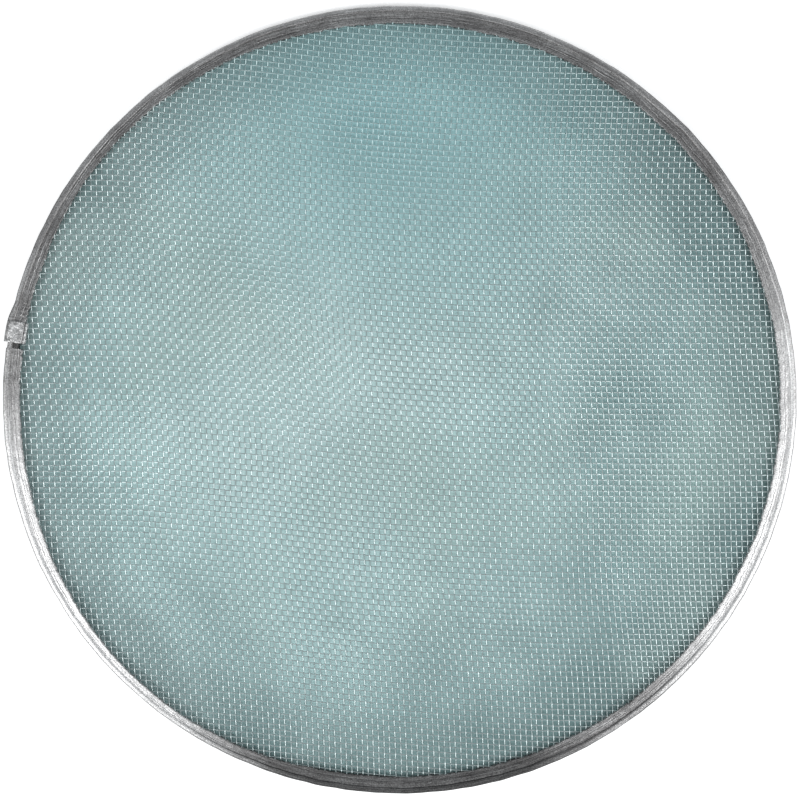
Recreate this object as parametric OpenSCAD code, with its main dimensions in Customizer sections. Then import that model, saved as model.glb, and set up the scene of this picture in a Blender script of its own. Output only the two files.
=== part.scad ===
// Round soil sieve screen: plain-weave wire cloth clamped in a folded sheet rim.
// The rim is one strip rolled round a core wire. Its two ends are necked and meet inside a clip.
// Origin: centre of the rim, on the plane that the sieve lies on. +Z is up, millimetres.

/* [Rim] */
// Outer diameter of the rim
rim_d = 305; // [200:1:400]
// Width of the rim from its outer side to its inner edge
rim_w = 5.6; // [5:0.1:8]
// Thickness of the folded sheet
sheet_t = 0.4; // [0.3:0.05:0.5]
// Diameter of the rolled bead, before it is pressed flat on top and below
bead_d = 3.2; // [3:0.1:4.5]
// How much the press takes off the bead's top, and as much off its underside
bead_flat = 0.1; // [0.05:0.01:0.12]

/* [Wire cloth] */
// Diameter of one wire of the cloth
wire_d = 0.45; // [0.3:0.01:0.5]
// Distance from one wire to the next
wire_pitch = 2.1; // [1.6:0.1:4]
// Lean of the warp wires, from the Y axis towards -X
warp_lean = 3; // [-5:0.5:5]
// Lean of the weft wires, from the X axis towards -Y
weft_lean = 3; // [-5:0.5:5]

/* [Joint] */
// Place of the joint on the rim, counter-clockwise from +X, in degrees
joint_angle = 169.8; // [0:0.1:359]
// Length of the clip along the rim
clip_l = 8.4; // [6:0.1:12]
// Width of the clip across the rim
clip_w = 8.6; // [8:0.1:10]
// Width of the hem folded along the clip's inner edges
clip_hem = 1.1; // [0.9:0.05:1.2]
// Length of necked rim that shows beside the clip
neck_show = 2.5; // [1:0.1:4]

/* [Hidden] */

$fn = 48;
eps = 0.02;                                // clearance between pieces that lie against each other
rim_r = rim_d / 2;
bead_h = bead_d - 2 * bead_flat;           // height of the rim
bead_r = rim_r - bead_d / 2;               // radius of the bead's own centre line
mid_z = bead_h / 2;                        // middle plane of the wire cloth
slot_h = 2 * wire_d + 3 * eps;             // room for two layers of wire between the flanges
bore_d = bead_d - 2 * sheet_t;             // inside of the rolled bead
core_d = bore_d - 4 * eps;                 // stiffening wire in the bead
cloth_r = bead_r - bore_d / 2 - eps;       // the cloth's wires end just short of the bead
neck_low = sheet_t + eps;                  // the necked ends run between these heights, inside the clip
neck_high = bead_h - eps;
neck_w = 4.7;                              // width of a necked end
neck_inset = 0.3;                          // a necked end lies this far inside the rim's outer side
clip_h = bead_h + sheet_t;                 // flush with the rim below, one sheet above it on top
clip_out = rim_r + 1.8;                    // outer side of the clip
clip_in = clip_out - clip_w;               // inner side of the clip
half_clip = atan(clip_l / 2 / rim_r);      // half the clip, as an angle on the rim
show_angle = atan(neck_show / rim_r);
end_gap = 0.15;                            // half the gap between the two ends inside the clip, degrees
lap = 0.3;                                 // each neck runs this far into the full section, degrees
strip_from = joint_angle + half_clip + show_angle;
strip_to = joint_angle - half_clip - eps + 360;

// Part of a ring between two angles, from a section drawn as (radius, height above mid_z)
module arc_of(from, to) {
    translate([0, 0, mid_z]) rotate([0, 0, from]) rotate_extrude(angle = to - from, $fn = 240) children();
}

// The strip's section: a bead with two flat flanges that hold the cloth between them
module strip_section(bead, flat, width, outer, rise) {
    centre = outer - bead / 2;
    bore = bead - 2 * sheet_t;
    flange = slot_h + 2 * sheet_t;
    difference() {
        union() {
            intersection() {
                translate([centre, rise]) circle(d = bead);
                translate([centre - bead, rise - bead / 2 + flat]) square([2 * bead, bead - 2 * flat]);
            }
            translate([outer - width, -flange / 2]) square([width - bead / 2, flange]);
        }
        translate([centre, rise]) circle(d = bore);
        translate([outer - width - 1, -slot_h / 2]) square([width - bead / 2 + 1, slot_h]);
    }
}

// A necked end of the strip, low enough and narrow enough to lie inside the clip
module neck(from, to) {
    arc_of(from, to)
        strip_section(neck_high - neck_low, 0, neck_w, rim_r - neck_inset, (neck_low + neck_high) / 2 - mid_z);
}

// The folded rim, open at the joint, with its two necked ends
module rim_strip() {
    color([0.74, 0.76, 0.77]) {
        arc_of(strip_from, strip_to) strip_section(bead_d, bead_flat, rim_w, rim_r, 0);
        neck(joint_angle + end_gap, strip_from + lap);
        neck(strip_to - lap, joint_angle - end_gap + 360);
    }
}

// The stiffening wire inside the bead, which stops short of both necks
module core_wire() {
    color([0.55, 0.57, 0.58])
        arc_of(strip_from + 2 * lap, strip_to - 2 * lap) translate([bead_r, 0]) circle(d = core_d);
}

// The clip's section: a sheet folded round the outer side, with a hem along both inner edges
module clip_section() {
    fold = clip_out - clip_h / 2;
    difference() {
        union() {
            translate([fold, clip_h / 2]) circle(d = clip_h);
            translate([clip_in + clip_hem / 2, 0]) square([fold - clip_in - clip_hem / 2, clip_h]);
            for (y = [clip_hem / 2, clip_h - clip_hem / 2])
                translate([clip_in + clip_hem / 2, y]) circle(d = clip_hem);
            translate([clip_in, clip_hem / 2]) square([clip_hem, clip_h - clip_hem]);
        }
        translate([fold, clip_h / 2]) circle(d = clip_h - 2 * sheet_t);
        translate([clip_in + clip_hem, sheet_t]) square([fold - clip_in - clip_hem, clip_h - 2 * sheet_t]);
        translate([clip_in - 1, mid_z - slot_h / 2]) square([clip_hem + 2, slot_h]);
    }
}

// The clip over both necked ends
module joint_clip() {
    color([0.84, 0.86, 0.86])
        rotate([0, 0, joint_angle]) rotate([90, 0, 0])
            linear_extrude(height = clip_l, center = true) clip_section();
}

// One layer of parallel wires along Y, each cut to its chord of the cloth's circle
module wire_layer(height) {
    count = floor((cloth_r - wire_d) / wire_pitch);
    for (i = [-count:count]) {
        x = i * wire_pitch;
        chord = 2 * sqrt(cloth_r * cloth_r - x * x);
        translate([x, 0, height]) rotate([90, 0, 0]) cylinder(d = wire_d, h = chord, center = true);
    }
}

// The cloth's wires that run along Y, in the upper layer
module warp_wires() {
    color([0.70, 0.74, 0.75]) rotate([0, 0, warp_lean]) wire_layer(mid_z + (wire_d + eps) / 2);
}

// The cloth's wires that run along X, in the lower layer
module weft_wires() {
    color([0.62, 0.66, 0.68]) rotate([0, 0, 90 - weft_lean]) wire_layer(mid_z - (wire_d + eps) / 2);
}

rim_strip();
core_wire();
joint_clip();
warp_wires();
weft_wires();
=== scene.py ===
"""Looks of the soil sieve: woven wire cloth, folded rim, joint clip, materials, light and camera.

Lengths are in millimetres in the row's frame, and become metres where a mesh is made. Only the floor, the
lights and the camera are placed in metres. Angles round the rim are counter-clockwise from +X, from above.
"""

import math

import bmesh
import bpy
import numpy as np
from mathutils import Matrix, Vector


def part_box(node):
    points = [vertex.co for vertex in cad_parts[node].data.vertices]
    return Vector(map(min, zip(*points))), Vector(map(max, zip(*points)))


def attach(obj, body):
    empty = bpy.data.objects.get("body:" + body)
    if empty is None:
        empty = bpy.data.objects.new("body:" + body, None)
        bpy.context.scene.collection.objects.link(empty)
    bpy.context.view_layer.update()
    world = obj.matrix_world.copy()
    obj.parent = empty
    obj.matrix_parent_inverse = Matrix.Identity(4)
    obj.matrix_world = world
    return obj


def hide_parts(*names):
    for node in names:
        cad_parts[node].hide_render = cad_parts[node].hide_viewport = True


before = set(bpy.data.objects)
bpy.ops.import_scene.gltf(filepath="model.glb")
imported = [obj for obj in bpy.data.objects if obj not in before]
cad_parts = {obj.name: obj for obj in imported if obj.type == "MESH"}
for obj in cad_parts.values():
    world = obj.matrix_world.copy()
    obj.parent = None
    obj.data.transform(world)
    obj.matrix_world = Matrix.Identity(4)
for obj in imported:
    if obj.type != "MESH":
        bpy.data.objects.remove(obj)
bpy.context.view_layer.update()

MM = 0.001
TAU = 2 * math.pi

# ---------------------------------------------------------------- sizes taken from the frame

rim_low, rim_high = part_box("rim_strip")
clip_low, clip_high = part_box("joint_clip")
warp_low, warp_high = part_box("warp_wires")
weft_low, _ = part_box("weft_wires")
RIM_R = (rim_high.y - rim_low.y) / 2 / MM
RIM_H = rim_high.z / MM
CLIP_H = clip_high.z / MM
MID = (warp_high.z + weft_low.z) / 2 / MM                     # middle plane of the cloth
CLOTH_R = (warp_high.y - warp_low.y) / 2 / MM                 # the wires end here, inside the rim
CLIP_SLID = 0.7                                               # how far along the rim the clip is slid
JOINT = math.atan2(clip_low.y + clip_high.y, clip_low.x + clip_high.x) + CLIP_SLID / RIM_R

# ---------------------------------------------------------------- sizes of the rim

SHEET = 0.4                   # thickness of the folded sheet
SLOT = 0.66                   # half the room between the two flanges
FLANGE = SLOT + SHEET         # a flange's outer face, above the middle plane
TILT = 0.17                   # slope of the flange: it stands a little higher at its inner edge
TILTED = 3.4                  # width of the part that slopes
MOUTH = SLOT + TILT * TILTED / 2                              # half the room at the flanges' inner edges
FLATTENED = 0.28              # the bead was pressed down this much on its upper side
BEAD_SPAN = 1.81              # the bead's width from crease to outermost line, in its own radii
CORE_R = 0.62                 # radius of the wire inside the bead
RIM_STEPS = 1000              # sections along the strip
# Width of the rim and of its bead seen from above, by angle: the strip was folded by hand and varies
RIM_WIDTHS = ((0, 6.1), (90, 6.9), (140, 5.1), (180, 6.5), (230, 4.3), (270, 6.5), (315, 5.9))
BEAD_WIDTHS = ((0, 2.1), (60, 2.6), (140, 2.6), (200, 2.3), (230, 2.1), (290, 2.5))
# The bead from its crease to its outermost line: share of its width, share of its height
BEAD_PROFILE = ((0.0, 0.62), (0.03, 0.73), (0.06, 0.82), (0.09, 0.88), (0.13, 0.925), (0.20, 0.955),
                (0.29, 0.955), (0.40, 0.925), (0.52, 0.86), (0.64, 0.765), (0.75, 0.65), (0.84, 0.52),
                (0.91, 0.38), (0.965, 0.20), (1.0, 0.0))
# Small dents in the bead: angle, radius, length, width and depth
DENTS = ((66.0, 150.0, 0.55, 0.45, 0.35), (66.5, 149.7, 0.4, 0.35, 0.3), (7.4, 151.2, 0.35, 0.35, 0.3),
         (176.2, 150.4, 0.5, 0.4, 0.3), (183.0, 149.2, 0.6, 0.4, 0.2), (143.0, 149.0, 0.5, 0.4, 0.25))
# The flange's inner edge, as steps in radius and height, and where its face is measured: distances from
# the inner edge, then shares of what is left before the crease
EDGE_ROUND = ((0.0, 0.06), (-0.03, 0.2), (0.0, 0.32))
EDGE_PLACES = (0.1, 0.25, 0.5, 0.8, 1.1, 1.35, 1.55, 1.68, 1.8, 1.92, 2.05, 2.2)
CREASE_SHARES = (0.18, 0.36, 0.54, 0.72, 0.86, 0.95)
GROOVE_IN = 1.8               # the groove along the flange, from its inner edge
WAVES_APART = 1.5             # distance across the flange from one of its lengthwise waves to the next

NECK_SHOW = 2.5               # length of necked rim that shows beside the clip
NECK_GAP = 0.35               # half the gap between the two ends of the strip, inside the clip
NECK_INSET = 0.4              # a neck's outer side, inside the rim's
NECK_WIDE = 4.6
NECK_BEAD = 2.0
NECK_DOWN = 0.55              # a neck's top, below the rim's
NECK_UP = 0.12                # middle of a neck's bead, above the cloth's middle plane
FLARE = 8.5                   # length over which the other end of the strip widens into the clip
# Pinch ridges in the flare: place across the strip as a share, lean per millimetre, and height
RIDGES = ((0.20, 0.01575, 0.16), (0.42, 0.0175, 0.13), (0.62, 0.0105, -0.12))
RIDGE_WIDE = 0.07

# ---------------------------------------------------------------- sizes of the clip

CLIP_LONG = 8.1               # along the rim
CLIP_OUT = 153.7              # radius of its outer side
CLIP_IN = 145.3               # and of its inner side
CLIP_HEM = 1.1                # width of the hem along its inner edges
# The groove behind the hem: place past the hem, and depth
HEM_GROOVE = ((-0.18, 0.04), (-0.04, 0.2), (0.06, 0.34), (0.17, 0.22), (0.30, 0.08))
CLIP_STEPS = 25               # sections along the clip
CLIP_DENTS = 26               # hammered dents in its face

# ---------------------------------------------------------------- sizes of the cloth

WIRE_R = 0.225
PITCH = 2.11
WIRE_SIDES = 6
# One crossing of a wire, as (share of the pitch, share of the crimp): rounded over the other wire, then
# straight down to the next crossing
WAVE = ((-0.16, 0.80), (-0.06, 1.0), (0.06, 1.0), (0.16, 0.80))
CLOTH_PIECES = 4              # each direction's wires are shared out over this many pieces
# Lean of the wires in degrees by lattice place: the cloth was pulled out of square as it was clamped
WARP_LEANS = ((-150, 1), (-120, 3), (-88, 6.2), (-44, 1.6), (3, 5.4), (58, 2.7), (108, -4.6), (150, -4))
WEFT_LEANS = ((-150, -1), (-113, 0.5), (-92, 5.4), (-66, 5.0), (-38, 7.3), (0, 4.4), (40, 2.9), (64, 1),
              (150, -0.5))
BOTH_CRIMPS = 0.455           # warp and weft waves together about clear one wire where they cross
LEAST_WARP = 0.18             # the warp's waves stay between these two heights
MOST_WARP = 0.28
STRAIGHT_WEFT = 0.135         # height of the weft's waves where it lies nearly straight
BENT_WEFT = 0.355             # and where it is bent most
# Patches of the cloth, as centre and reach: where the weft is bent, bent a little, and straight again
BENT_PATCHES = (((-44, 20), (32, 46)), ((-104, -22), (22, 22)))
LITTLE_BENT = ((-8, 112), (62, 42))
STRAIGHT_AGAIN = ((118, 88), (34, 46))
HOLLOW = 0.45                 # how far the cloth's broad waves go up and down

# ---------------------------------------------------------------- colours, and places for them

BEAD_MARK = 2.4               # the bead's width in the strip's own coordinates
GROOVE_OUT = 2.45             # the painted shade in the flange's groove, this far inside the crease
SHADED_BOTTOM = (6, -152)           # the rim is painted darker round this place, a painted shade
LIT_RIGHT = (147, -37)      # and painted lighter round these two, a painted highlight where the lamps fall on it
LIT_LEFT = (-129, -80)
PALE_EDGE = (-15, 151)        # its outer band is painted lighter round this one, a painted highlight, and its outermost line is not painted darker there
RIM_DARK = (0.21, 0.20, 0.20)
RIM_MID = (0.43, 0.425, 0.425)
RIM_PALE = (0.86, 0.86, 0.86)

DULL_PATCH = (0, 120)         # the cloth is duller round this place, and bluer there, a painted reflection of the teal ground
SOFT_PATCH = (125, -40)       # and a little less shiny round this one
# the wires' colour round the dull patch, a painted reflection of the teal ground
TEAL_TINTED_STEEL = (0.47, 0.62, 0.63)

TEAL_PALE = (0.73, 0.92, 0.92)
TEAL_MID = (0.60, 0.81, 0.81)
TEAL_DARK = (0.31, 0.47, 0.475)
TEAL_GREEN = (0.56, 0.73, 0.69)
TEAL_BLUE = (0.43, 0.70, 0.73)
GROUND_PALEST = (-38, 4)      # the ground is palest under this place
GROUND_FALL = 165             # and darkens over about this distance from it
GROUND_R = 152                # the ground's edge, darkened inside it by painted shade of the rim

rng = np.random.default_rng(7)


# ---------------------------------------------------------------- small helpers

def blend_between(pairs, at, period=None):
    """A smooth value at each place, from pairs of place and value, turning slowly at each of the pairs."""
    places = np.array([p[0] for p in pairs], float)
    values = np.array([p[1] for p in pairs], float)
    if period:
        places = np.concatenate([places[-1:] - period, places, places[:1] + period])
        values = np.concatenate([values[-1:], values, values[:1]])
        at = np.mod(at, period)
    k = np.clip(np.searchsorted(places, at) - 1, 0, len(places) - 2)
    share = np.clip((at - places[k]) / (places[k + 1] - places[k]), 0, 1)
    share = share * share * (3 - 2 * share)
    return values[k] + share * (values[k + 1] - values[k])


def ripple(at, shortest, longest, waves=14):
    """Random smooth waves along a line, of about unit size, with wavelengths between two lengths."""
    lengths = np.exp(rng.uniform(math.log(shortest), math.log(longest), waves))
    starts = rng.uniform(0, TAU, waves)
    return sum(np.cos(TAU * at / w + s) for w, s in zip(lengths, starts)) / math.sqrt(waves / 2)


def step_up(x, start, end):
    """0 before start and 1 after end, with a smooth turn between."""
    s = np.clip((x - start) / (end - start), 0, 1)
    return s * s * (3 - 2 * s)


def bell(away, width):
    """1 where a distance is 0, falling smoothly to nothing over about twice the width."""
    return np.exp(-(away / width) ** 2)


def new_object(name, mesh, material, node):
    """Puts a mesh into the scene as a piece on the root body, standing for a CAD node."""
    ob = bpy.data.objects.new(name, mesh)
    bpy.context.scene.collection.objects.link(ob)
    mesh.materials.append(material)
    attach(ob, "root")
    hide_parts(node)


def tubes_mesh(name, tubes):
    """One mesh from closed tubes, each an array (rings, sides, 3) in millimetres, with flat capped ends."""
    points = []
    quads = []
    caps = []
    start = 0
    for rings in tubes:
        n, sides = rings.shape[:2]
        index = start + np.arange(n * sides).reshape(n, sides)
        turned = np.roll(index, -1, axis=1)
        quads.append(np.stack([index[:-1], turned[:-1], turned[1:], index[1:]], axis=-1).reshape(-1, 4))
        caps += [index[0][::-1], index[-1]]
        points.append(rings.reshape(-1, 3))
        start += n * sides
    points = np.concatenate(points) * MM
    quads = np.concatenate(quads)
    cap_sides = len(caps[0])
    corners = np.concatenate([quads.reshape(-1), np.concatenate(caps)])
    starts = np.concatenate([np.arange(len(quads)) * 4, quads.size + np.arange(len(caps)) * cap_sides])
    mesh = bpy.data.meshes.new(name)
    mesh.vertices.add(len(points))
    mesh.vertices.foreach_set("co", points.astype(np.float32).reshape(-1))
    mesh.loops.add(len(corners))
    mesh.loops.foreach_set("vertex_index", corners.astype(np.int32))
    mesh.polygons.add(len(starts))
    mesh.polygons.foreach_set("loop_start", starts.astype(np.int32))
    mesh.polygons.foreach_set("use_smooth", np.arange(len(starts)) < len(quads))
    mesh.update(calc_edges=True)
    mesh.validate()
    return mesh


def outward(mesh):
    """Turns every face of a closed mesh to face out."""
    bm = bmesh.new()
    bm.from_mesh(mesh)
    bmesh.ops.recalc_face_normals(bm, faces=bm.faces)
    bm.to_mesh(mesh)
    bm.free()
    return mesh


def swept(radius, height, angle):
    """The rings of a section carried round the rim, from a row of radii and heights for each angle."""
    return np.stack([radius * np.cos(angle)[:, None], radius * np.sin(angle)[:, None], height], axis=2)


# ---------------------------------------------------------------- materials

def grey(level):
    """A grey as a colour socket takes it."""
    return (level, level, level, 1)


class Nodes:
    """A material's node tree, with short calls for the nodes used here."""

    def __init__(self, name):
        self.material = bpy.data.materials.new(name)
        self.material.use_nodes = True
        self.tree = self.material.node_tree
        self.shader = self.tree.nodes["Principled BSDF"]

    def add(self, kind, inputs=None, **settings):
        node = self.tree.nodes.new(kind)
        for key, value in settings.items():
            setattr(node, key, value)
        for key, value in (inputs or {}).items():
            self.put(value, node.inputs[key])
        return node

    def put(self, value, socket):
        if isinstance(value, bpy.types.NodeSocket):
            self.tree.links.new(value, socket)
        else:
            socket.default_value = value

    def math(self, operation, a, b=0.0):
        return self.add("ShaderNodeMath", {0: a, 1: b}, operation=operation).outputs[0]

    def noise(self, vector, scale, detail=3.0, roughness=0.55, distortion=0.0):
        node = self.add("ShaderNodeTexNoise", {"Vector": vector, "Scale": scale, "Detail": detail,
                                               "Roughness": roughness, "Distortion": distortion})
        return node.outputs["Fac"]

    def ramp(self, value, stops):
        """Stops are (place, grey level) or (place, (r, g, b))."""
        node = self.add("ShaderNodeValToRGB", {"Fac": value})
        ramp = node.color_ramp
        while len(ramp.elements) < len(stops):
            ramp.elements.new(0.5)
        for element, (place, level) in zip(ramp.elements, stops):
            element.position = place
            element.color = (*level, 1) if isinstance(level, tuple) else grey(level)
        return node.outputs["Color"]

    def mix(self, share, a, b, blend="MIX"):
        node = self.add("ShaderNodeMix", {"Factor": share}, data_type="RGBA", blend_type=blend)
        self.put(a, node.inputs[6])
        self.put(b, node.inputs[7])
        return node.outputs[2]

    def times(self, colour, level, share=1.0):
        """A colour multiplied by a level, wholly or in part."""
        return self.mix(share, colour, level, "MULTIPLY")

    def place(self):
        """The point being shaded, in millimetres."""
        here = self.add("ShaderNodeTexCoord").outputs["Object"]
        return self.add("ShaderNodeVectorMath", {0: here, 3: 1 / MM}, operation="SCALE").outputs[0]

    def distance(self, here, point):
        """How far a place is from a point."""
        node = self.add("ShaderNodeVectorMath", {0: here, 1: point}, operation="DISTANCE")
        return node.outputs["Value"]

    def near(self, point, full, none):
        """1 within a distance of a point on the floor plan and 0 beyond another, in millimetres."""
        span = 200                                            # the ramp's whole length
        away = self.distance(self.place(), (*point, 0))
        return self.ramp(self.math("DIVIDE", away, span), ((full / span, 1.0), (none / span, 0.0)))

    def along_rim(self):
        """The strip's own coordinates, as stored on its mesh by `mark_strip`."""
        return self.add("ShaderNodeAttribute", attribute_name="strip").outputs["Vector"]

    def stretched(self, vector, across, along):
        """The strip's coordinates scaled so that a noise is short across it and long along it."""
        return self.add("ShaderNodeVectorMath", {0: vector, 1: (across, along, 1.0)},
                        operation="MULTIPLY").outputs[0]

    def bump(self, height, distance, normal=None):
        """Bumps of a height in millimetres, on top of another bump's normal if there is one."""
        inputs = {"Height": height, "Distance": distance * MM, "Strength": 1.0}
        if normal is not None:
            inputs["Normal"] = normal
        return self.add("ShaderNodeBump", inputs).outputs["Normal"]

    def finish(self, **sockets):
        for key, value in sockets.items():
            self.put(value, self.shader.inputs[key.replace("_", " ")])
        return self.material


def rim_painted_shade(n, colour, across):
    """Painted shade beside the bead's crease and in the groove along the flange."""
    crease = n.ramp(n.math("ADD", across, 0.3), ((0.14, 0.80), (0.28, 0.48), (0.46, 0.62), (0.80, 1.0)))
    colour = n.times(colour, crease, 0.9)
    groove = n.ramp(n.math("ABSOLUTE", n.math("ADD", across, GROOVE_OUT)), ((0.0, 0.40), (0.20, 1.0)))
    return n.times(colour, groove, 0.9)


def rim_painted_light_and_shade(n, colour, across, mottle):
    """Painted highlights round two places where the lamps fall on the rim and on its outer band round a
    third, painted shade along its outermost line, and painted shade round a place at the bottom.
    """
    # painted highlight: round two places the colour goes to a grainy pale grey, most near the crease
    lamp_lit = n.math("MAXIMUM", n.near(LIT_RIGHT, 55, 95), n.near(LIT_LEFT, 55, 95))
    lit_grey = n.ramp(mottle, ((0.40, 0.62), (0.54, 1.0)))
    seam = n.ramp(n.math("ABSOLUTE", n.math("SUBTRACT", across, 0.15)), ((0.15, 1.0), (0.45, 0.50)))
    colour = n.mix(n.math("MULTIPLY", lamp_lit, seam), colour, lit_grey)
    over_bead = n.math("DIVIDE", across, BEAD_MARK)
    # painted highlight: round one place the bead's outer band is lightened towards grey, and its outermost
    # line keeps its colour
    pale_here = n.near(PALE_EDGE, 80, 140)
    pale = n.ramp(over_bead, ((0.35, 0.0), (0.55, 0.28)))
    colour = n.mix(n.math("MULTIPLY", pale_here, pale), colour, grey(0.8))
    # painted shade along the bead's outermost line, where it turns down
    edge = n.ramp(over_bead, ((0.78, 1.0), (0.89, 0.34)))
    colour = n.times(colour, n.mix(pale_here, edge, grey(1)))
    # painted shade: round one place at the bottom the rim is darkened, the bead most
    bottom_shade = n.ramp(across, ((0.0, 0.55), (0.4, 0.30)))
    return n.times(colour, n.mix(n.near(SHADED_BOTTOM, 42, 78), grey(1), bottom_shade))


def neck_painted_shade(n, colour, across, necked):
    """Painted shade on the flanges of the necks beside the clip, which lie below the rim's."""
    flange = n.ramp(n.math("ADD", across, 1.0), ((0.8, 1.0), (1.0, 0.25)))
    return n.times(colour, n.ramp(n.math("MULTIPLY", necked, flange), ((0.2, 1.0), (0.9, 0.28))))


def rim_zinc():
    """Galvanised sheet drawn lengthways: dull zinc with long scratches and creases, painted shade in its
    crease, groove, outer line, necks and at the bottom, and painted highlights where the lamps fall.
    """
    n = Nodes("zinc_rim")
    strip = n.along_rim()
    parts = n.add("ShaderNodeSeparateXYZ", {0: strip}).outputs
    across = parts[0]
    necked = parts[2]
    streak = n.noise(n.stretched(strip, 1.9, 0.022), 1.0, 5.0, 0.62)
    scratch = n.noise(n.stretched(strip, 6.5, 0.16), 1.0, 3.0, 0.6)
    mottle = n.noise(n.place(), 1.9, 5.0, 0.70, 0.3)
    cloud = n.noise(n.place(), 0.07, 2.0, 0.5)
    tone = n.mix(0.20, n.mix(0.45, streak, mottle), cloud)
    colour = n.ramp(tone, ((0.38, RIM_DARK), (0.50, RIM_MID), (0.62, RIM_PALE)))
    colour = n.times(colour, n.ramp(scratch, ((0.38, 0.40), (0.50, 1.0))), 0.7)
    colour = n.times(colour, n.ramp(mottle, ((0.40, 0.50), (0.52, 1.0))), 0.6)
    colour = rim_painted_shade(n, colour, across)
    colour = rim_painted_light_and_shade(n, colour, across, mottle)
    colour = neck_painted_shade(n, colour, across, necked)
    rough = n.ramp(tone, ((0.35, 0.54), (0.65, 0.42)))
    normal = n.bump(streak, 0.12)
    normal = n.bump(scratch, 0.025, normal)
    normal = n.bump(mottle, 0.10, normal)
    tangent = n.add("ShaderNodeTangent", direction_type="RADIAL", axis="Z").outputs[0]
    return n.finish(Base_Color=colour, Metallic=1.0, Roughness=rough, Normal=normal,
                    Anisotropic=0.35, Anisotropic_Rotation=0.25, Tangent=tangent)


def clip_zinc():
    """Thicker, brighter zinc, beaten flat: rough cloudy patches and bright spots from wear, with painted
    shade in the groove behind the hem and on the outer fold.
    """
    n = Nodes("zinc_clip")
    here = n.place()
    cloud = n.noise(here, 0.55, 4.0, 0.6, 0.5)
    mottle = n.noise(here, 1.6, 5.0, 0.65, 0.3)
    tone = n.mix(0.5, cloud, mottle)
    colour = n.ramp(tone, ((0.36, 0.21), (0.50, 0.50), (0.64, 0.95)))
    rough = n.ramp(mottle, ((0.3, 0.55), (0.7, 0.38)))
    out = n.distance(here, (0, 0, 0))
    # painted shade in the groove behind the hem
    behind_hem = n.math("ABSOLUTE", n.math("SUBTRACT", out, CLIP_IN + CLIP_HEM))
    colour = n.times(colour, n.ramp(behind_hem, ((0.0, 0.35), (0.45, 1.0))))
    # painted shade on the clip's rounded outer side
    outer = n.ramp(n.math("SUBTRACT", out, CLIP_OUT - 2), ((0.45, 1.0), (0.8, 0.5)))
    colour = n.times(colour, outer)
    normal = n.bump(cloud, 0.45)
    normal = n.bump(mottle, 0.16, normal)
    return n.finish(Base_Color=colour, Metallic=1.0, Roughness=rough, Normal=normal)


def drawn_wire(name, dark, pale, roughness):
    """Bright drawn wire with small changes of tone along it, and a painted teal reflection round one patch.
    """
    n = Nodes(name)
    here = n.place()
    cloud = n.noise(here, 0.05, 3.0, 0.55)
    grain = n.noise(here, 1.7, 3.0, 0.6)
    tone = n.mix(0.45, cloud, grain)
    colour = n.ramp(tone, ((0.35, dark), (0.65, pale)))
    dull = n.near(DULL_PATCH, 36, 102)
    # painted reflection: round the dull patch the wires' colour goes most of the way to a teal
    colour = n.mix(n.math("MULTIPLY", dull, 0.8), colour, (*TEAL_TINTED_STEEL, 1))
    rough = n.ramp(grain, ((0.3, roughness - 0.05), (0.7, roughness + 0.07)))
    rough = n.math("ADD", rough, n.math("MULTIPLY", n.near(SOFT_PATCH, 30, 115), 0.055))
    rough = n.mix(dull, rough, grey(roughness + 0.17))
    normal = n.bump(n.noise(here, 3.0, 2.0), 0.004)
    return n.finish(Base_Color=colour, Metallic=1.0, Roughness=rough, Normal=normal)


# ---------------------------------------------------------------- wire cloth

def leaned(pairs, at):
    """How far a wire has strayed sideways at each place along it, from the leans."""
    step = 0.5
    line = np.arange(-160.0, 160.1, step)
    slope = np.tan(np.radians(blend_between(pairs, line)))
    stray = np.concatenate([[0], np.cumsum((slope[1:] + slope[:-1]) / 2 * step)])
    return np.interp(at, line, stray - np.interp(0, line, stray))


def cloth_height(x, y):
    """Height of the cloth's middle plane: broad shallow waves that die out towards the rim."""
    inside = np.clip(1 - (x * x + y * y) / CLOTH_R ** 2, 0, 1)
    waves = (np.sin(x / 23 + 0.8 + y / 61) * np.cos(y / 31 - 0.4 + x / 83)
             + 0.6 * np.sin((x + 0.8 * y) / 13 + 2.1) * np.cos((x - y) / 37)
             + 0.35 * np.sin(y / 9.0 + x / 29 + 0.7))
    return MID + HOLLOW * waves * inside ** 0.5 / 1.6


def patch(x, y, centre, reach):
    """A soft-edged oval patch: 1 inside it, 0 well outside."""
    away = ((x - centre[0]) / reach[0]) ** 2 + ((y - centre[1]) / reach[1]) ** 2
    return np.exp(-away ** 2)


def weft_crimp(x, y):
    """Height of the weft's waves. The weft lies nearly straight but is bent more in a few patches."""
    bent = sum(patch(x, y, centre, reach) for centre, reach in BENT_PATCHES)
    # the right side is bent too, from a line that slants outwards below the middle, and less at its edge
    right = step_up(x + 0.32 * np.minimum(y, 0), 48, 64) * (1 - 0.9 * patch(x, y, *STRAIGHT_AGAIN))
    right *= 1 - 0.45 * step_up(x, 112, 132)
    bent = np.maximum(np.clip(bent + right, 0, 1), 0.2 * patch(x, y, *LITTLE_BENT))
    return STRAIGHT_WEFT + (BENT_WEFT - STRAIGHT_WEFT) * bent


def tube(path):
    """The rings of a wire that follows a path, standing square to it."""
    ahead = np.gradient(path, axis=0)
    ahead /= np.linalg.norm(ahead, axis=1, keepdims=True)
    side = np.cross(ahead, (0, 0, 1))
    side /= np.linalg.norm(side, axis=1, keepdims=True)
    up = np.cross(side, ahead)
    turn = (np.arange(WIRE_SIDES) + 0.5) / WIRE_SIDES * TAU
    return (path[:, None] + WIRE_R * (np.cos(turn)[None, :, None] * side[:, None]
                                      + np.sin(turn)[None, :, None] * up[:, None]))


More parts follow.
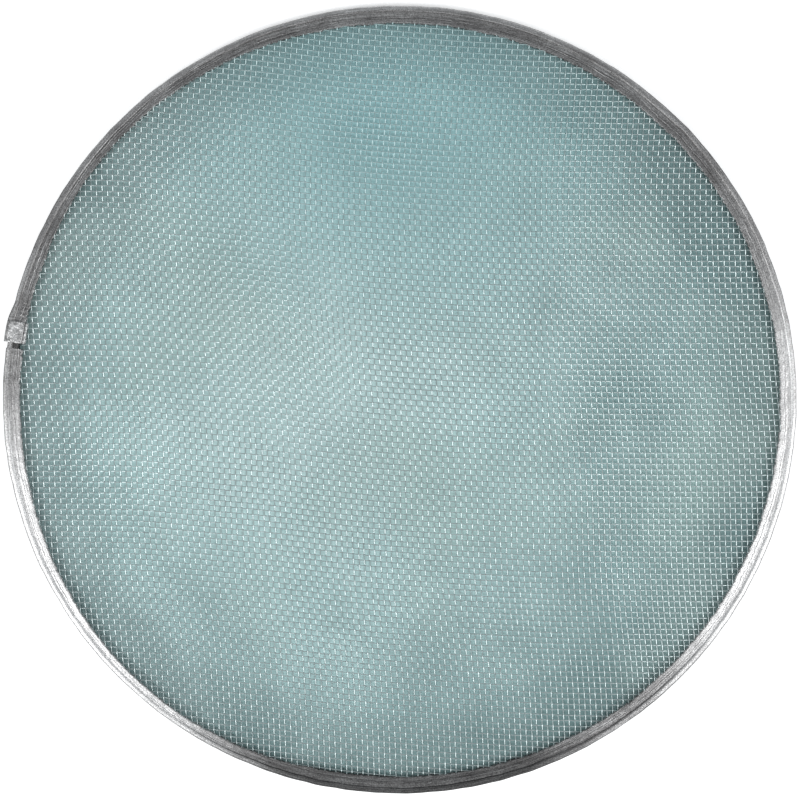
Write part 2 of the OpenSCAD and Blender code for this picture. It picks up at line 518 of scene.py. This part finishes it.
def woven_wire(line, is_warp, jitter):
    """One crimped wire as a tube: it crosses over and under the wires of the other direction."""
    reach = int(CLOTH_R / PITCH) + 2
    crossing = np.arange(-reach, reach + 1)[:, None]
    along = (crossing + np.array([at for at, _ in WAVE])).reshape(-1)
    wave = (np.cos(math.pi * (crossing + line)) * np.array([level for _, level in WAVE])).reshape(-1)
    aside = line * PITCH + jitter[0] + 0.05 * np.sin(along * jitter[1] + jitter[2])
    u, v = (aside, along * PITCH) if is_warp else (along * PITCH, aside)
    x = u - leaned(WARP_LEANS, v)
    y = v - leaned(WEFT_LEANS, u)
    keep = x * x + y * y < CLOTH_R ** 2
    if keep.sum() < 3:
        return None
    weft = weft_crimp(x, y)
    warp = np.clip(BOTH_CRIMPS - weft, LEAST_WARP, MOST_WARP)
    z = cloth_height(x, y) + wave * (warp if is_warp else -weft)
    return tube(np.stack([x, y, z], axis=1)[keep])


def make_cloth(name, node, is_warp, material):
    """All the wires of one direction, shared out over a few pieces side by side."""
    count = int((CLOTH_R - WIRE_R) / PITCH)
    tubes = []
    for line in range(-count, count + 1):
        jitter = (rng.normal(0, 0.035), rng.uniform(0.15, 0.3), rng.uniform(0, TAU))
        wire = woven_wire(line, is_warp, jitter)
        if wire is not None:
            tubes.append(wire)
    lengths = np.cumsum([len(t) for t in tubes])
    share = np.minimum(lengths * CLOTH_PIECES // (lengths[-1] + 1), CLOTH_PIECES - 1)
    for k in range(CLOTH_PIECES):
        piece = f"{name}_{k + 1}"
        mesh = tubes_mesh(piece, [t for t, s in zip(tubes, share) if s == k])
        new_object(piece, mesh, material, node)


# ---------------------------------------------------------------- rim

def rim_outline(angle):
    """Outer radius of the rim at each angle: very slightly oval and not quite even."""
    return RIM_R - 0.62 + 0.55 * np.cos(2 * angle) + 0.07 * np.sin(3 * angle)


def strip_angles(neck_end, tail):
    """Where the strip's sections stand: evenly all round, and closer where it changes at its ends."""
    gap = NECK_GAP / RIM_R
    even = np.linspace(JOINT + gap, JOINT + TAU - gap, RIM_STEPS)
    by_neck = np.linspace(neck_end - 0.002, neck_end + 0.002, 9)
    by_tail = np.linspace(tail - FLARE / RIM_R, tail + 0.004, 60)
    return np.unique(np.concatenate([even, by_neck, by_tail]))


class Strip:
    """The folded strip: its lines, in millimetres at each angle round the rim, and its section."""

    def __init__(self):
        half_clip = CLIP_LONG / 2 / RIM_R
        neck_end = JOINT + half_clip + NECK_SHOW / RIM_R
        tail = JOINT + TAU - half_clip
        self.angle = strip_angles(neck_end, tail)
        self.arc = self.angle * RIM_R
        # 1 on a neck and 0 elsewhere: the section changes within a few thousandths of a radian
        self.necked = np.maximum(1 - step_up(self.angle, neck_end - 0.0012, neck_end + 0.0008),
                                 step_up(self.angle, tail + 0.001, tail + 0.003))
        self.flare = step_up(self.angle, tail - FLARE / RIM_R, tail)
        self.to_tail = (self.angle - tail) * RIM_R            # negative before the clip
        self.draw_lines()
        self.form_necks()
        self.waves = [ripple(self.arc, 3, 30, 24) for _ in range(4)]
        self.notch = GROOVE_IN + 0.12 * ripple(self.arc, 10, 60)
        # two are used; the third is drawn so that the random draws after it stay as they are
        self.rib = [ripple(self.arc, 15, 120) for _ in range(3)]

    def draw_lines(self):
        """The strip's outermost line, its inner edge, the crease beside its bead, and their heights."""
        arc = self.arc
        flare = self.flare
        degrees = np.degrees(self.angle)
        width = blend_between(RIM_WIDTHS, degrees, 360)
        bead = blend_between(BEAD_WIDTHS, degrees, 360)
        self.outer = rim_outline(self.angle) + 0.05 * ripple(arc, 6, 60) + 1.15 * flare
        self.inner = self.outer - width - flare
        self.inner += 0.10 * ripple(arc, 1.2, 9, 30) + 0.08 * ripple(arc, 20, 120)
        self.crease = self.outer - bead - 0.06 * ripple(arc, 20, 120) - 0.5 * flare
        self.top = RIM_H - FLATTENED + 0.03 * ripple(arc, 9, 70) - 0.25 * flare
        self.flange = MID + FLANGE + 0.10 * flare

    def form_necks(self):
        """Inside the clip and beside it, the lines are a neck's."""
        neck_out = RIM_R - NECK_INSET
        self.outer += self.necked * (neck_out - self.outer)
        self.inner += self.necked * (neck_out - NECK_WIDE - self.inner)
        self.crease += self.necked * (neck_out - NECK_BEAD - self.crease)
        self.top += self.necked * (RIM_H - NECK_DOWN - self.top)
        self.centre = MID + self.necked * NECK_UP

    def ridges(self, radius):
        """Pinch ridges that run slantwise across the strip where it goes into the clip."""
        share = (radius - self.inner) / (self.outer - self.inner)
        z = np.zeros_like(self.angle)
        for start, lean, size in RIDGES:
            z += size * bell(share - start - lean * self.to_tail, RIDGE_WIDE)
        return z * self.flare * (1 - self.necked)

    def flange_top(self, from_edge):
        """Radius and height of the flange's face, at a distance from its inner edge."""
        radius = self.inner + np.minimum(from_edge, self.crease - self.inner)
        across = min(from_edge / WAVES_APART, 3)
        low = int(min(across, 2))
        wave = self.waves[low] + (across - low) * (self.waves[low + 1] - self.waves[low])
        slope = TILT * (TILTED / 2 - min(from_edge, TILTED))
        z = self.flange + 0.035 * wave * min(1, from_edge / 0.4) + slope
        # a groove, the low ridge pushed up beside it, and a fine crease further out
        past = from_edge - self.notch
        z -= 0.13 * bell(past, 0.13)
        z += 0.06 * bell(past - 0.32, 0.18) * (1 + 0.5 * self.rib[0])
        z -= 0.05 * bell(past - 1.1 - 0.15 * self.rib[1], 0.12)
        return radius, z + self.ridges(radius)

    def flange_side(self):
        """The section from the flange's inner edge to the bead's crease, as pairs of radius and height."""
        points = []
        for step, height in EDGE_ROUND:
            points.append((self.inner + step, np.full_like(self.angle, MID + MOUTH + height)))
        for from_edge in EDGE_PLACES:
            radius, z = self.flange_top(from_edge)
            points.append((radius, z - (0.05 if from_edge < 0.2 else 0.0)))
        start = self.inner + EDGE_PLACES[-1]
        room = np.maximum(self.crease - start, 0.05)
        for share in CREASE_SHARES:
            radius = np.minimum(start + share * room, self.crease - 0.02 * (1 - share))
            _, z = self.flange_top(3.0 + 1.5 * share)
            points.append((radius, z - 0.04 * step_up(share, 0.7, 1.0)))
        return points

    def hollow(self, rise):
        """The section's inside: the slot for the cloth and the bore round the core wire."""
        half = (self.outer - self.crease) / BEAD_SPAN
        middle = self.outer - half
        bore = half - SHEET
        hold = rise - SHEET
        begin = math.pi - np.arcsin(np.clip((SLOT - 0.25) / hold, 0, 0.95))
        points = [(self.inner + 0.04, self.centre - MOUTH)]
        for share in np.linspace(-1, 1, 15):
            phi = begin * share
            points.append((middle + bore * np.cos(phi), self.centre + hold * np.sin(phi)))
        points.append((self.inner + 0.04, self.centre + MOUTH))
        return points

    def section(self):
        """The closed section as pairs of radius and height: upper side, underside and hollow."""
        upper = self.flange_side()
        bead_start = len(upper)
        rise = self.top - self.centre
        for share, level in BEAD_PROFILE:
            upper.append((self.crease + share * (self.outer - self.crease), self.centre + rise * level))
        full = (self.centre - 0.02) / rise                    # underneath, the bead is not pressed down
        lower = []
        for k in range(len(upper) - 2, -1, -1):
            radius, z = upper[k]
            lower.append((radius, self.centre - (z - self.centre) * (full if k >= bead_start else 1.0)))
        return [*upper, *lower, *self.hollow(rise)]


def press_dents(height, radius, arc):
    """Presses the small dents into the upper side of the bead."""
    circle = TAU * RIM_R
    reach = 9                                                 # a dent may lie across the strip's start
    for at, out, long, wide, deep in DENTS:
        away = (arc - math.radians(at) * RIM_R + reach) % circle - reach
        height -= deep * bell(away[:, None], long) * bell(radius - out, wide) * (height > MID + 0.9)


def mark_strip(mesh, across, along, necked):
    """Stores each vertex's distance from the crease and along the strip, and whether it is on a neck."""
    mark = mesh.attributes.new("strip", "FLOAT_VECTOR", "POINT")
    values = np.stack([across, along, necked], axis=2).astype(np.float32)
    mark.data.foreach_set("vector", values.reshape(-1))


def make_rim(material):
    """The folded strip: a closed section swept round from one end in the clip to the other."""
    strip = Strip()
    section = strip.section()
    radius = np.stack([r for r, _ in section], axis=1)
    height = np.stack([z for _, z in section], axis=1)
    press_dents(height, radius, strip.arc)
    rings = swept(radius, np.maximum(height, 0.0), strip.angle)
    mesh = outward(tubes_mesh("rim_folded_strip", [rings]))
    across = radius - strip.crease[:, None]
    bead = (strip.outer - strip.crease)[:, None]
    across = np.where(across > 0, across / bead * BEAD_MARK, across)
    mark_strip(mesh, across, strip.arc[:, None] + 0 * radius, strip.necked[:, None] + 0 * radius)
    new_object("rim_folded_strip", mesh, material, "rim_strip")


def make_core(material):
    """The round wire that the bead is rolled over, following the bead and a little uneven."""
    gap = 0.6 * CLIP_LONG / RIM_R
    angle = np.linspace(JOINT + gap, JOINT + TAU - gap, 721)
    bead = blend_between(BEAD_WIDTHS, np.degrees(angle), 360)
    middle = rim_outline(angle) - bead / BEAD_SPAN + 0.02 * ripple(angle * RIM_R, 10, 60)
    turn = np.linspace(0, TAU, 16, endpoint=False)
    radius = middle[:, None] + CORE_R * np.cos(turn)
    height = MID + CORE_R * np.sin(turn) + 0 * radius
    mesh = outward(tubes_mesh("rim_core_wire", [swept(radius, height, angle)]))
    new_object("rim_core_wire", mesh, material, "core_wire")


# ---------------------------------------------------------------- clip

def clip_profile():
    """The clip's section as (radius, height): a folded sheet with a hem along both inner edges."""
    fold_r = CLIP_H / 2
    fold = CLIP_OUT - fold_r
    inner_r = fold_r - SHEET
    hem = CLIP_HEM / 2
    after = CLIP_IN + CLIP_HEM                                # where the hem ends
    upper = [(CLIP_IN + 0.25, MID + SLOT + 0.02), (CLIP_IN + 0.06, MID + SLOT + 0.10)]
    for phi in np.linspace(math.pi, math.pi / 2, 6):
        upper.append((CLIP_IN + hem * (1 + math.cos(phi)), CLIP_H - hem * (1 - math.sin(phi))))
    upper += [(after + step, CLIP_H - deep) for step, deep in HEM_GROOVE]
    upper += [(after + 0.5 + k * (fold - after - 0.5) / 8, CLIP_H - 0.03) for k in range(8)]
    for phi in np.linspace(math.pi / 2, 0, 8):
        upper.append((fold + fold_r * math.cos(phi), fold_r + fold_r * math.sin(phi)))
    lower = [(r, max(CLIP_H - z, 0.0)) for r, z in upper[-2::-1]]
    inside = [(after, MID - SLOT - 0.02), (after, SHEET + 0.01)]
    for phi in np.linspace(-math.pi / 2, math.pi / 2, 9):
        inside.append((fold + inner_r * math.cos(phi), fold_r + inner_r * math.sin(phi)))
    inside += [(after, CLIP_H - SHEET - 0.01), (after, MID + SLOT + 0.02)]
    return np.array(upper + lower + inside)


def clip_section(section, share, dents, s):
    """The clip's section at a place along it, from -1 to 1: radius, height and place along the rim."""
    slant = 0.35 * (share - 0.4) * (1 if s > 0 else 0.4) * abs(s) ** 3
    ragged = 0.10 * np.sin(section[:, 0] * 2.3 + 5 * s) * abs(s) ** 6
    along = s * CLIP_LONG / 2 + slant + ragged
    height = section[:, 1].copy()
    face = height > CLIP_H * 0.8
    for at, place, size, depth in dents:
        height += face * depth * np.exp(-(((share - at) / size) ** 2 + ((s - place) / (1.6 * size)) ** 2))
    height -= face * 0.10 * abs(s) ** 3                       # pinched down at both ends
    radius = section[:, 0] - 0.12 * abs(s) ** 4 * (share > 0.9)
    radius += 0.3 * max(-s - 0.55, 0) * (share < 0.14)        # the hem is cut back at one end
    return radius, np.minimum(height, CLIP_H), along


def make_clip(material):
    """The clip: its section carried along the rim, with uneven cut ends and small hammered dents."""
    section = clip_profile()
    share = (section[:, 0] - CLIP_IN) / (CLIP_OUT - CLIP_IN)
    dents = [(rng.uniform(0.2, 0.95), rng.uniform(-0.9, 0.9), rng.uniform(0.07, 0.16),
              rng.uniform(-0.11, 0.05)) for _ in range(CLIP_DENTS)]
    radial = np.array((math.cos(JOINT), math.sin(JOINT), 0))
    tangent = np.array((-math.sin(JOINT), math.cos(JOINT), 0))
    up = np.array((0, 0, 1))
    rings = []
    for s in np.linspace(-1, 1, CLIP_STEPS):
        radius, height, along = clip_section(section, share, dents, s)
        rings.append(radius[:, None] * radial + along[:, None] * tangent + height[:, None] * up)
    mesh = outward(tubes_mesh("clip_folded_sleeve", [np.array(rings)]))
    new_object("clip_folded_sleeve", mesh, material, "joint_clip")


# ---------------------------------------------------------------- stage, light and camera

def make_floor():
    """A plain pale floor that gives off a little light, so that it stays white beside the sieve."""
    bpy.ops.mesh.primitive_plane_add(size=8, location=(0, 0, -0.0002))
    floor = bpy.context.object
    floor.name = "floor"
    n = Nodes("pale_floor")
    soft = n.noise(n.place(), 0.002, 2.0)
    n.finish(Base_Color=n.ramp(soft, ((0.3, 0.94), (0.7, 0.96))), Roughness=0.9,
             Emission_Color=grey(1), Emission_Strength=0.34)
    floor.data.materials.append(n.material)


def make_ground():
    """The pale teal ground that shows through the cloth and nowhere else."""
    bpy.ops.mesh.primitive_circle_add(vertices=180, radius=(RIM_R - 2.0) * MM, fill_type="NGON",
                                      location=(0, 0, 0.00005))
    ground = bpy.context.object
    ground.name = "teal_ground"
    n = Nodes("teal_ground")
    here = n.place()
    cloud = n.noise(here, 0.020, 4.0, 0.6, 0.6)
    wander = n.math("MULTIPLY", n.math("SUBTRACT", cloud, 0.5), 0.9)
    fall = n.math("DIVIDE", n.distance(here, (*GROUND_PALEST, 0)), GROUND_FALL)
    share = n.math("ADD", fall, wander)
    colour = n.ramp(share, ((0.0, TEAL_PALE), (0.45, TEAL_MID), (1.0, TEAL_DARK)))
    green = n.noise(here, 0.012, 2.0, 0.5)
    colour = n.mix(n.ramp(green, ((0.50, 0.0), (0.70, 0.5))), colour, (*TEAL_GREEN, 1))
    colour = n.mix(n.math("MULTIPLY", n.near(DULL_PATCH, 12, 108), 0.75), colour, (*TEAL_BLUE, 1))
    colour = n.times(colour, n.ramp(n.noise(here, 0.35, 4.0, 0.7), ((0.3, 0.90), (0.7, 1.0))))
    # painted shade of the rim, darkening the ground towards its edge
    out = n.math("DIVIDE", n.distance(here, (0, 0, 0)), GROUND_R)
    colour = n.times(colour, n.ramp(out, ((0.78, 1.0), (0.99, 0.62))))
    ground.data.materials.append(n.finish(Base_Color=colour, Roughness=0.95))


def softbox(name, place, size, power):
    """A rectangular soft light, placed and sized in metres, turned to face the sieve's middle."""
    data = bpy.data.lights.new(name, "AREA")
    data.shape = "RECTANGLE"
    data.size, data.size_y = size
    data.energy = power
    ob = bpy.data.objects.new(name, data)
    ob.location = place
    ob.rotation_euler = (-Vector(place)).to_track_quat("-Z", "Y").to_euler()
    bpy.context.scene.collection.objects.link(ob)


def make_lights():
    """Two long soft lights at the sides, a little towards the viewer's edge, in an even grey room."""
    softbox("right_light", (1.03, -0.43, 0.78), (0.95, 0.42), 11.3)
    softbox("left_light", (-0.99, -0.56, 0.78), (0.85, 0.42), 12.0)
    world = bpy.data.worlds.new("room")
    world.use_nodes = True
    background = world.node_tree.nodes["Background"]
    background.inputs["Color"].default_value = (0.93, 0.97, 1.0, 1)
    background.inputs["Strength"].default_value = 0.40
    bpy.context.scene.world = world


def make_camera():
    """Straight above the sieve, which nearly fills the frame."""
    height = 0.80
    aside = (0.12 * MM, -0.27 * MM)                           # the frame's middle, from the sieve's
    frame_width = 307.3 * MM                                  # across the picture, at mid height
    sensor = 36
    data = bpy.data.cameras.new("camera")
    data.sensor_width = sensor
    data.lens = sensor * (height - MID * MM) / frame_width
    data.clip_start = 0.05
    data.clip_end = 20
    camera = bpy.data.objects.new("camera", data)
    camera.location = (*aside, height)
    bpy.context.scene.collection.objects.link(camera)
    bpy.context.scene.camera = camera


# ---------------------------------------------------------------- build

make_camera()
make_lights()
make_floor()
make_ground()

core_steel = drawn_wire("core_steel", (0.30, 0.31, 0.32), (0.50, 0.51, 0.52), 0.40)
# the cloth's steel is tinted teal, a painted reflection of the teal ground below it
cloth_steel = drawn_wire("cloth_steel", (0.51, 0.585, 0.585), (0.64, 0.72, 0.72), 0.40)

make_rim(rim_zinc())
make_core(core_steel)
make_clip(clip_zinc())
make_cloth("cloth_warp", "warp_wires", True, cloth_steel)
make_cloth("cloth_weft", "weft_wires", False, cloth_steel)
bpy.context.scene.view_settings.view_transform = "Standard"
